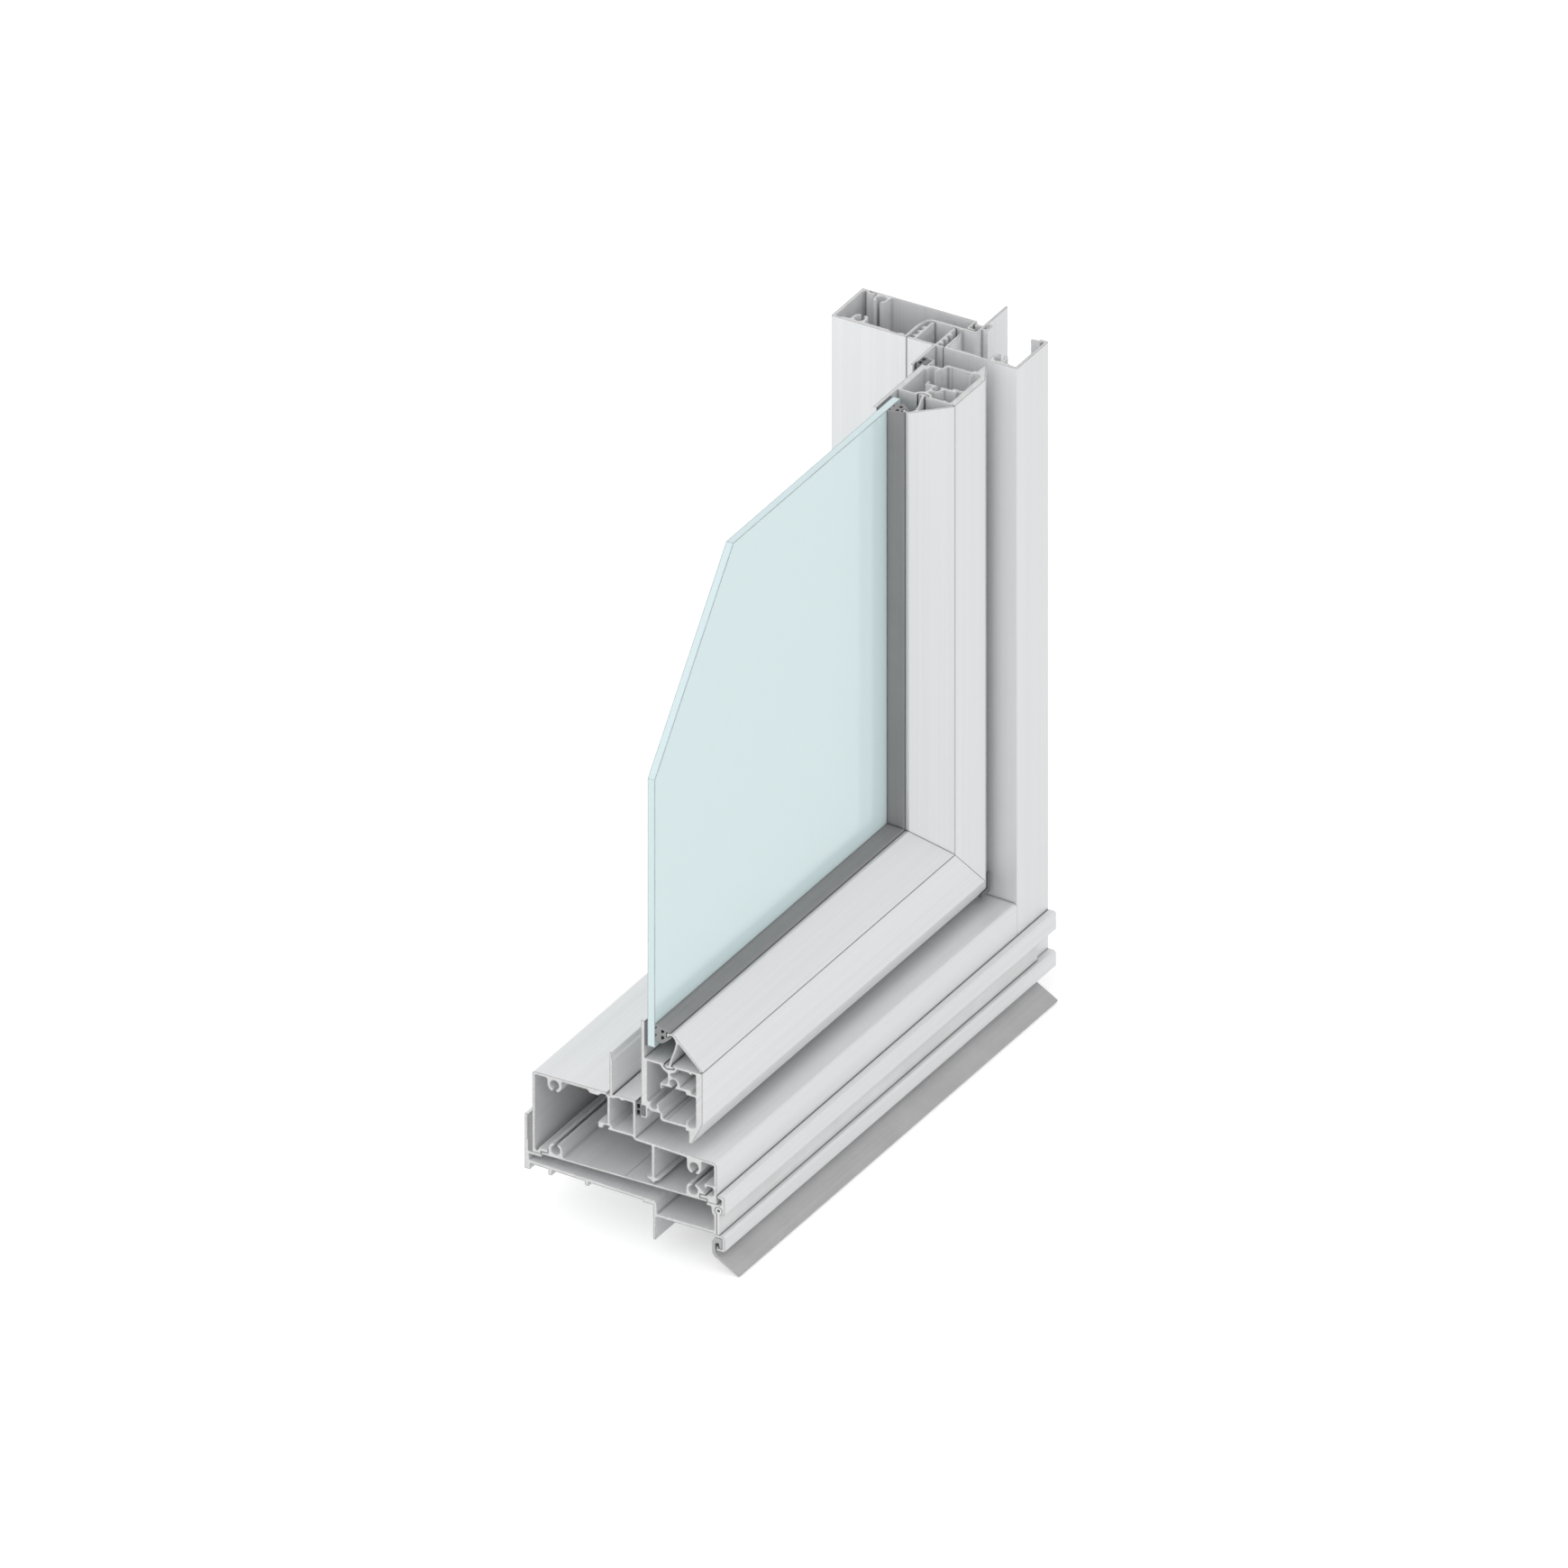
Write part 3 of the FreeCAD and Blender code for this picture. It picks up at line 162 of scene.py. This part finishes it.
# Curved scratches of the saw on a cut end, round the middle of the blade.
def buildSawMarks():
    tree, given, result = newTree(
        "sawMarks",
        [("Coordinates", "NodeSocketVector", None),
         ("Blade Middle", "NodeSocketVector", (-0.12, 0, 0.16)),
         ("Spacing", "NodeSocketFloat", 0.0009)],
        [("Marks", "NodeSocketFloat")])
    patchScale = 140.0
    faintest = 0.6
    strongest = 1.1
    reach = vectorCalc(tree, "DISTANCE", given["Coordinates"], given["Blade Middle"], "Value")
    steps = calc(tree, "DIVIDE", reach, given["Spacing"])
    scratches = addNode(tree, "ShaderNodeTexNoise", {"noise_dimensions": "1D"},
                        {"W": steps, "Scale": 1.0, "Detail": 4.0, "Roughness": 0.7}).outputs["Fac"]
    patch = noise(tree, given["Coordinates"], scale=patchScale, detail=2.0)
    strength = remap(tree, patch, *noiseRange, faintest, strongest)
    tree.links.new(calc(tree, "MULTIPLY", scratches, strength), result["Marks"])
    return tree


# One where a face is square to the given axis, such as a sawn end, and nought elsewhere.
def buildCutFace():
    tree, given, result = newTree(
        "cutFace",
        [("Face Normal", "NodeSocketVector", None), ("Axis", "NodeSocketVector", (0, 1, 0))],
        [("Cut", "NodeSocketFloat")])
    fromHere = 0.6
    fullyHere = 0.75
    along = vectorCalc(tree, "DOT_PRODUCT", given["Face Normal"], given["Axis"], "Value")
    tree.links.new(remap(tree, calc(tree, "ABSOLUTE", along), fromHere, fullyHere), result["Cut"])
    return tree


# A band beside each edge, for wear, for grinding and for the painted shadow of the burr on cut ends,
# and the rounded normal that goes with it.
def buildEdgeWearAndShadow():
    tree, given, result = newTree(
        "edgeWearAndShadow",
        [("Coordinates", "NodeSocketVector", None), ("Radius", "NodeSocketFloat", 0.0003),
         ("Patchiness", "NodeSocketFloat", 0.5)],
        [("Edge", "NodeSocketFloat"), ("Rounded", "NodeSocketVector")])
    flatEnough = 0.99
    wornFully = 0.86
    patchScale = 90.0
    patchRange = (0.35, 0.65)
    rounded = addNode(tree, "ShaderNodeBevel", {"samples": 4},
                      {"Radius": given["Radius"]}).outputs["Normal"]
    flat = addNode(tree, "ShaderNodeNewGeometry").outputs["Normal"]
    agree = vectorCalc(tree, "DOT_PRODUCT", rounded, flat, "Value")
    patch = noise(tree, given["Coordinates"], scale=patchScale, detail=3.0)
    weakest = calc(tree, "SUBTRACT", 1.0, given["Patchiness"])
    spread = remap(tree, patch, *patchRange, weakest)
    mask = calc(tree, "MULTIPLY", remap(tree, agree, flatEnough, wornFully), spread)
    tree.links.new(mask, result["Edge"])
    tree.links.new(rounded, result["Rounded"])
    return tree


# Painted shade, from ambient occlusion, darkening the colour in grooves, and a darker painted shade in
# the narrow seams between pieces and in tight concave corners.
def buildPaintedGrooveShade():
    tree, given, result = newTree(
        "paintedGrooveShade",
        [("Reach", "NodeSocketFloat", 0.004), ("Tone", "NodeSocketFloat", 0.6),
         ("Seam Reach", "NodeSocketFloat", 0.0009), ("Seam Shade Tone", "NodeSocketFloat", 0.3)],
        [("Shade", "NodeSocketColor")])
    buried = 0.25
    bare = 0.9
    tones = []
    for reach, tone in (("Reach", "Tone"), ("Seam Reach", "Seam Shade Tone")):
        around = addNode(tree, "ShaderNodeAmbientOcclusion", {"samples": 6}, {"Distance": given[reach]})
        tones.append(remap(tree, around.outputs["AO"], buried, bare, given[tone], 1.0))
    shade = calc(tree, "MULTIPLY", *tones)
    colour = addNode(tree, "ShaderNodeCombineColor", None, {0: shade, 1: shade, 2: shade}).outputs[0]
    tree.links.new(colour, result["Shade"])
    return tree


# Fine cast grain for rubber and plastic, and the pale bloom that comes to its surface.
def buildRubberGrain():
    tree, given, result = newTree(
        "rubberGrain",
        [("Coordinates", "NodeSocketVector", None), ("Grain Size", "NodeSocketFloat", 0.0004)],
        [("Grain", "NodeSocketFloat"), ("Bloom", "NodeSocketFloat")])
    bloomScale = 35.0
    fineness = calc(tree, "DIVIDE", 1.0, given["Grain Size"])
    grain = noise(tree, given["Coordinates"], scale=fineness, detail=2.0)
    bloom = noise(tree, given["Coordinates"], scale=bloomScale, detail=4.0, roughness=0.6)
    tree.links.new(grain, result["Grain"])
    tree.links.new(bloom, result["Bloom"])
    return tree


dieLines = buildDieLines()
sawMarks = buildSawMarks()
cutFace = buildCutFace()
edgeWearAndShadow = buildEdgeWearAndShadow()
paintedGrooveShade = buildPaintedGrooveShade()
rubberGrain = buildRubberGrain()
print("shader groups built")


def newMaterial(name):
    material = bpy.data.materials.new(name)
    material.use_nodes = True
    tree = material.node_tree
    return material, tree, tree.nodes["Principled BSDF"], tree.nodes.new("ShaderNodeTexCoord").outputs


def raiseSurface(tree, shader, height, normal=None):
    values = {"Strength": 1.0, "Distance": 1.0, "Height": height}
    if normal is not None:
        values["Normal"] = normal
    bump = addNode(tree, "ShaderNodeBump", None, values)
    tree.links.new(bump.outputs["Normal"], shader.inputs["Normal"])


def paintedShadeOf(tree, look):
    return useGroup(tree, paintedGrooveShade, {"Reach": look["grooveReach"], "Tone": look["grooveShadeTone"],
                                        "Seam Reach": look["seamReach"],
                                        "Seam Shade Tone": look["seamShadeTone"]})["Shade"]


aluminiumLook = {
    "face": fromScreen(233, 234, 235),
    "faceDark": 0.95,
    "faceBright": 1.03,
    "cut": fromScreen(223, 223, 223),
    "cutDark": 0.86,
    # Painted shadow along the rims of each cut end, standing for the shade of the saw burr
    "rimShadow": fromScreen(78, 79, 81),
    "rimShadowStrength": 0.9,
    "rimShadowRadius": 0.001,
    "rimShadowPatchiness": 0.2,
    "worn": fromScreen(246, 246, 246),
    "wornStrength": 0.5,
    "edgeRadius": 0.00035,
    "linesAlong": 4.0,
    "linesAcross": 1100.0,
    "lineDepth": 0.00003,
    "sawDepth": 0.00006,
    "sawRange": (0.25, 0.65),
    "roughness": 0.42,
    "cutRoughness": 0.34,
    "roughnessSpread": 0.05,
    # Painted shade in grooves and seams: how far each reaches and how dark it gets
    "grooveReach": 0.0022,
    "grooveShadeTone": 0.7,
    "seamReach": 0.0009,
    "seamShadeTone": 0.25,
    "metallic": 0.2,
}


def aluminium(name, along, tone):
    look = aluminiumLook
    material, tree, shader, place = newMaterial(name)
    where = place["Object"]
    stretch = perAxis(along, look["linesAlong"], look["linesAcross"])
    lines = useGroup(tree, dieLines, {"Coordinates": where, "Stretch": stretch})["Lines"]
    marks = useGroup(tree, sawMarks, {"Coordinates": where})["Marks"]
    cut = useGroup(tree, cutFace, {"Face Normal": place["Normal"],
                                   "Axis": perAxis(along, 1.0, 0.0)})["Cut"]
    edge = useGroup(tree, edgeWearAndShadow, {"Coordinates": where, "Radius": look["edgeRadius"]})
    # Mask along the rims of each cut end for the painted burr shadow
    rimShadow = useGroup(tree, edgeWearAndShadow, {"Coordinates": where, "Radius": look["rimShadowRadius"],
                                     "Patchiness": look["rimShadowPatchiness"]})["Edge"]
    lineShare = remap(tree, lines, *noiseRange)
    markShare = remap(tree, marks, *look["sawRange"])
    faceColour = mixColours(tree, lineShare, toned(look["face"], look["faceDark"] * tone),
                            toned(look["face"], look["faceBright"] * tone))
    faceColour = mixColours(tree, calc(tree, "MULTIPLY", edge["Edge"], look["wornStrength"]),
                            faceColour, look["worn"])
    cutColour = mixColours(tree, markShare, toned(look["cut"], look["cutDark"]), look["cut"])
    # The painted burr shadow darkens the rims of the cut ends
    cutColour = mixColours(tree, calc(tree, "MULTIPLY", rimShadow, look["rimShadowStrength"]),
                           cutColour, look["rimShadow"])
    colour = mixColours(tree, cut, faceColour, cutColour)
    # Painted shade of grooves and seams multiplied into the colour
    colour = mixColours(tree, 1.0, colour, paintedShadeOf(tree, look), "MULTIPLY")
    tree.links.new(colour, shader.inputs["Base Color"])
    spread = look["roughnessSpread"]
    rough = calc(tree, "ADD", mixNumbers(tree, cut, look["roughness"], look["cutRoughness"]),
                 remap(tree, lines, *noiseRange, -spread, spread))
    tree.links.new(rough, shader.inputs["Roughness"])
    height = mixNumbers(tree, cut, calc(tree, "MULTIPLY", lines, look["lineDepth"]),
                        calc(tree, "MULTIPLY", marks, look["sawDepth"]))
    raiseSurface(tree, shader, height, edge["Rounded"])
    shader.inputs["Metallic"].default_value = look["metallic"]
    return material


rubberLook = {
    "dark": 0.86,
    "pale": 1.25,
    "grainSize": 0.0004,
    "grainDepth": 0.00005,
    "linesAlong": 6.0,
    "linesAcross": 700.0,
    "lineStrength": 0.35,
    "lineRange": (0.45, 0.75),
    "lineDepth": 0.00004,
    "edgeRadius": 0.0003,
    "edgeStrength": 0.45,
    "smoother": 0.06,
    "rougher": 0.08,
    # Painted shade in grooves and seams: how far each reaches and how dark it gets
    "grooveReach": 0.003,
    "grooveShadeTone": 0.6,
    "seamReach": 0.0009,
    "seamShadeTone": 0.6,
}


def rubber(name, colour, roughness, along):
    look = rubberLook
    material, tree, shader, place = newMaterial(name)
    where = place["Object"]
    stretch = perAxis(along, look["linesAlong"], look["linesAcross"])
    lines = useGroup(tree, dieLines, {"Coordinates": where, "Stretch": stretch})["Lines"]
    grain = useGroup(tree, rubberGrain, {"Coordinates": where, "Grain Size": look["grainSize"]})
    edge = useGroup(tree, edgeWearAndShadow, {"Coordinates": where, "Radius": look["edgeRadius"]})
    pale = toned(colour, look["pale"])
    bloomShare = remap(tree, grain["Bloom"], *noiseRange)
    lineShare = calc(tree, "MULTIPLY", remap(tree, lines, *look["lineRange"]), look["lineStrength"])
    edgeShare = calc(tree, "MULTIPLY", edge["Edge"], look["edgeStrength"])
    body = mixColours(tree, bloomShare, toned(colour, look["dark"]), colour)
    body = mixColours(tree, lineShare, body, pale)
    body = mixColours(tree, edgeShare, body, pale)
    # Painted shade of grooves and seams multiplied into the colour
    body = mixColours(tree, 1.0, body, paintedShadeOf(tree, look), "MULTIPLY")
    tree.links.new(body, shader.inputs["Base Color"])
    change = remap(tree, grain["Bloom"], *noiseRange, -look["smoother"], look["rougher"])
    tree.links.new(calc(tree, "ADD", roughness, change), shader.inputs["Roughness"])
    height = calc(tree, "ADD", calc(tree, "MULTIPLY", grain["Grain"], look["grainDepth"]),
                  calc(tree, "MULTIPLY", lines, look["lineDepth"]))
    raiseSurface(tree, shader, height, edge["Rounded"])
    return material


glassLook = {
    "tint": fromScreen(233, 252, 254),
    "edge": fromScreen(226, 243, 246),
    "clearness": 0.12,
    "refraction": 1.5,
    "arris": fromScreen(70, 96, 98),
    "arrisRadius": 0.001,
    "arrisStrength": 0.9,
    "arrisPatchiness": 0.2,
    "smearScale": 18.0,
    "smearRange": (0.35, 0.7),
    "cleanRoughness": 0.03,
    "smearedRoughness": 0.09,
    "edgeRoughness": 0.32,
    "grindLines": (60.0, 60.0, 900.0),
    "grindDepth": 0.00005,
}


def glass(name):
    look = glassLook
    material, tree, shader, place = newMaterial(name)
    where = place["Object"]
    face = useGroup(tree, cutFace, {"Face Normal": place["Normal"], "Axis": (1.0, 0.0, 0.0)})["Cut"]
    arris = useGroup(tree, edgeWearAndShadow, {"Coordinates": where, "Radius": look["arrisRadius"],
                                      "Patchiness": look["arrisPatchiness"]})["Edge"]
    colour = mixColours(tree, face, look["edge"], look["tint"])
    colour = mixColours(tree, calc(tree, "MULTIPLY", arris, look["arrisStrength"]),
                        colour, look["arris"])
    tree.links.new(colour, shader.inputs["Base Color"])
    smear = noise(tree, where, scale=look["smearScale"], detail=3.0)
    smeared = remap(tree, smear, *look["smearRange"], look["cleanRoughness"], look["smearedRoughness"])
    rough = mixNumbers(tree, face, look["edgeRoughness"], smeared)
    tree.links.new(rough, shader.inputs["Roughness"])
    streak = addNode(tree, "ShaderNodeMapping", None, {"Vector": where, "Scale": look["grindLines"]})
    ground = noise(tree, streak.outputs[0], scale=1.0, detail=3.0)
    height = calc(tree, "MULTIPLY", calc(tree, "MULTIPLY", ground, look["grindDepth"]),
                  calc(tree, "SUBTRACT", 1.0, face))
    raiseSurface(tree, shader, height)
    shader.inputs["IOR"].default_value = look["refraction"]
    shader.inputs["Transmission Weight"].default_value = look["clearness"]
    return material


# For each profile: the axis it was extruded along, and how bright it is beside the others.
extrusionRuns = {
    "sub_sill": ("Y", 1.0),
    "frame_sill": ("Y", 1.0),
    "sill_base_plate": ("Y", 0.98),
    "sash_bottom_rail": ("Y", 1.01),
    "bottom_glazing_bead": ("Y", 1.0),
    "jamb_frame": ("Z", 1.0),
    "jamb_back_plate": ("Z", 0.98),
    "jamb_stop_cover": ("Z", 0.99),
    "sash_stile": ("Z", 1.01),
    "side_glazing_bead": ("Z", 1.0),
}
# For each soft or plastic piece: its colour, its roughness and the axis it was drawn along.
softRuns = {
    "drain_flap_seal": (fromScreen(231, 231, 232), 0.45, "Y"),
    "weather_flap": (fromScreen(185, 185, 186), 0.5, "Y"),
    "upstand_sealant": (fromScreen(150, 150, 151), 0.55, "Y"),
    "bottom_sash_seal": (fromScreen(126, 127, 129), 0.66, "Y"),
    "side_sash_seal": (fromScreen(126, 127, 129), 0.66, "Z"),
    "bottom_glazing_tape": (fromScreen(104, 105, 107), 0.7, "Y"),
    "side_glazing_tape": (fromScreen(104, 105, 107), 0.7, "Z"),
    "bottom_wedge_gasket": (fromScreen(144, 144, 145), 0.62, "Y"),
    "side_wedge_gasket": (fromScreen(144, 144, 145), 0.62, "Z"),
    "sash_corner_cap": (fromScreen(118, 119, 121), 0.4, "X"),
}


def dress(node, material):
    slots = nodes[node].material_slots
    if not slots:
        nodes[node].data.materials.append(material)
    for slot in slots:
        slot.material = material


for node, (along, tone) in extrusionRuns.items():
    dress(node, aluminium(node + "_aluminium", along, tone))
for node, (colour, roughness, along) in softRuns.items():
    dress(node, rubber(node + "_rubber", colour, roughness, along))
dress("glass_pane", glass("pale_glass"))
print("finishes on every node")


# Sealant pressed into the teeth of the upstand: one ridge in each, along the whole bead.
sealantRidges = {
    "count": 12,
    "pitch": 0.00115,
    "depth": 0.0007,
    "firstBelowTop": 0.0003,
}


def buildRidgeTree():
    tree, given, result = newTree(
        "ridgeRow",
        [("Count", "NodeSocketInt", 12), ("Pitch", "NodeSocketFloat", 0.001),
         ("Depth", "NodeSocketFloat", 0.001), ("Length", "NodeSocketFloat", 0.1),
         ("Finish", "NodeSocketMaterial", None)],
        [("Mesh", "NodeSocketGeometry")], "GeometryNodeTree")
    pitch = given["Pitch"]
    depth = given["Depth"]
    # A three-sided bar of radius 1 is 1.5 deep and the root of 3 high, and its flat side is 0.5
    # from its middle. It is laid along Y with a corner towards -X, and the flat side goes to X = 0.
    barDepth = 1.5
    barHeight = math.sqrt(3)
    flatSide = 0.5
    bar = addNode(tree, "GeometryNodeMeshCylinder", None,
                  {"Vertices": 3, "Radius": 1.0, "Depth": given["Length"]})
    laid = addNode(tree, "GeometryNodeTransform", None,
                   {"Geometry": bar.outputs["Mesh"], "Rotation": (math.pi / 2, 0.0, math.pi)})
    size = vector(tree, calc(tree, "DIVIDE", depth, barDepth), 1.0,
                  calc(tree, "DIVIDE", pitch, barHeight))
    back = vector(tree, x=calc(tree, "MULTIPLY", depth, -flatSide / barDepth))
    ridge = addNode(tree, "GeometryNodeTransform", None,
                    {"Geometry": laid.outputs[0], "Scale": size, "Translation": back})
    first = vector(tree, z=calc(tree, "MULTIPLY", pitch, -0.5))
    step = vector(tree, z=calc(tree, "MULTIPLY", pitch, -1.0))
    row = addNode(tree, "GeometryNodeMeshLine", {"mode": "OFFSET"},
                  {"Count": given["Count"], "Start Location": first, "Offset": step})
    placed = addNode(tree, "GeometryNodeInstanceOnPoints", None,
                     {"Points": row.outputs["Mesh"], "Instance": ridge.outputs[0]})
    real = addNode(tree, "GeometryNodeRealizeInstances", None, {"Geometry": placed.outputs[0]})
    finished = addNode(tree, "GeometryNodeSetMaterial", None,
                       {"Geometry": real.outputs[0], "Material": given["Finish"]})
    tree.links.new(finished.outputs[0], result["Mesh"])
    return tree


def makeSealantRidges():
    low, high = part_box("upstand_sealant")
    tree = buildRidgeTree()
    maker = bpy.data.objects.new("ridge_maker", bpy.data.meshes.new("ridge_maker"))
    bpy.context.scene.collection.objects.link(maker)
    modifier = maker.modifiers.new("ridges", "NODES")
    modifier.node_group = tree
    finish = nodes["upstand_sealant"].material_slots[0].material
    values = {"Count": sealantRidges["count"], "Pitch": sealantRidges["pitch"],
              "Depth": sealantRidges["depth"], "Length": high.y - low.y, "Finish": finish}
    for item in tree.interface.items_tree:
        if item.item_type == "SOCKET" and item.in_out == "INPUT":
            modifier[item.identifier] = values[item.name]
    grown = maker.evaluated_get(bpy.context.evaluated_depsgraph_get())
    mesh = bpy.data.meshes.new_from_object(grown)
    bpy.data.objects.remove(maker)
    # The grown mesh also brings an empty slot, so its slots are made afresh
    mesh.materials.clear()
    mesh.materials.append(finish)
    mesh.shade_flat()
    top = high.z - sealantRidges["firstBelowTop"]
    mesh.transform(Matrix.Translation((low.x, (low.y + high.y) / 2, top)))
    mesh.name = "sealant_ridges"
    ridges = bpy.data.objects.new("sealant_ridges", mesh)
    bpy.context.scene.collection.objects.link(ridges)
    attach(ridges, "root")
    print("sealant ridges:", len(mesh.polygons), "faces")


makeSealantRidges()


# Angles in degrees, lengths in metres. The width is what the picture shows from side to side.
view = {
    "azimuth": 30.0,
    "elevation": 30.0,
    "width": 0.7395,
    "target": (-0.0447, 0.0493, 0.1127),
    "distance": 2.0,
}
floorLook = {
    "half": 3.0,
    "belowObject": 0.0005,
    "grey": 0.8,
    "roughness": 0.9,
    "glow": 0.42,
}
skyLight = {
    "onObject": 0.89,
    "seen": 1.0,
}
# For each lamp: its place and its width in metres, and its power in watts.
lamps = {
    "key_lamp": ((-0.1, -1.4, 1.6), 1.2, 3.4),
    "side_lamp": ((1.7, 0.1, 0.7), 1.2, 0.2),
    "low_lamp": ((-0.25, -1.3, 0.35), 1.4, 2.4),
}


def anyOf(tree, ray, *kinds):
    found = ray[kinds[0]]
    for kind in kinds[1:]:
        found = calc(tree, "MAXIMUM", found, ray[kind])
    return found


# The floor's glow shows to the camera, in reflections and through the glass, and lights nothing.
def makeFloor():
    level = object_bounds()[0].z - floorLook["belowObject"]
    half = floorLook["half"]
    corners = [(-half, -half, level), (half, -half, level), (half, half, level), (-half, half, level)]
    mesh = bpy.data.meshes.new("floor")
    mesh.from_pydata(corners, [], [(0, 1, 2, 3)])
    floor = bpy.data.objects.new("floor", mesh)
    bpy.context.scene.collection.objects.link(floor)
    material = bpy.data.materials.new("white_floor")
    material.use_nodes = True
    tree = material.node_tree
    shader = tree.nodes["Principled BSDF"]
    shader.inputs["Base Color"].default_value = grey(floorLook["grey"])
    shader.inputs["Roughness"].default_value = floorLook["roughness"]
    shader.inputs["Specular IOR Level"].default_value = 0.0
    shader.inputs["Emission Color"].default_value = grey(1.0)
    ray = tree.nodes.new("ShaderNodeLightPath").outputs
    seen = anyOf(tree, ray, "Is Camera Ray", "Is Glossy Ray", "Is Transmission Ray")
    tree.links.new(calc(tree, "MULTIPLY", seen, floorLook["glow"]), shader.inputs["Emission Strength"])
    mesh.materials.append(material)


def makeSky():
    world = bpy.data.worlds.new("studio")
    bpy.context.scene.world = world
    world.use_nodes = True
    tree = world.node_tree
    sky = tree.nodes["Background"]
    sky.inputs["Color"].default_value = grey(1.0)
    ray = tree.nodes.new("ShaderNodeLightPath").outputs
    seen = anyOf(tree, ray, "Is Camera Ray", "Is Transmission Ray")
    strength = remap(tree, seen, 0.0, 1.0, skyLight["onObject"], skyLight["seen"])
    tree.links.new(strength, sky.inputs["Strength"])


def softLamp(name, place, width, power):
    lamp = bpy.data.lights.new(name, "AREA")
    lamp.shape = "SQUARE"
    lamp.size = width
    lamp.energy = power
    stand = bpy.data.objects.new(name, lamp)
    bpy.context.scene.collection.objects.link(stand)
    stand.location = place
    stand.rotation_mode = "QUATERNION"
    stand.rotation_quaternion = (Vector(view["target"]) - Vector(place)).to_track_quat("-Z", "Y")


def makeCamera():
    azimuth = math.radians(view["azimuth"])
    elevation = math.radians(view["elevation"])
    backward = Vector((math.sin(azimuth) * math.cos(elevation),
                       -math.cos(azimuth) * math.cos(elevation), math.sin(elevation)))
    lens = bpy.data.cameras.new("camera")
    lens.type = "ORTHO"
    lens.ortho_scale = view["width"]
    camera = bpy.data.objects.new("camera", lens)
    bpy.context.scene.collection.objects.link(camera)
    camera.location = Vector(view["target"]) + backward * view["distance"]
    camera.rotation_mode = "QUATERNION"
    camera.rotation_quaternion = (-backward).to_track_quat("-Z", "Y")
    bpy.context.scene.camera = camera
    bpy.context.scene.view_settings.view_transform = "Standard"


makeFloor()
makeSky()
for name, (place, width, power) in lamps.items():
    softLamp(name, place, width, power)
makeCamera()
print("stage, lights and camera set")
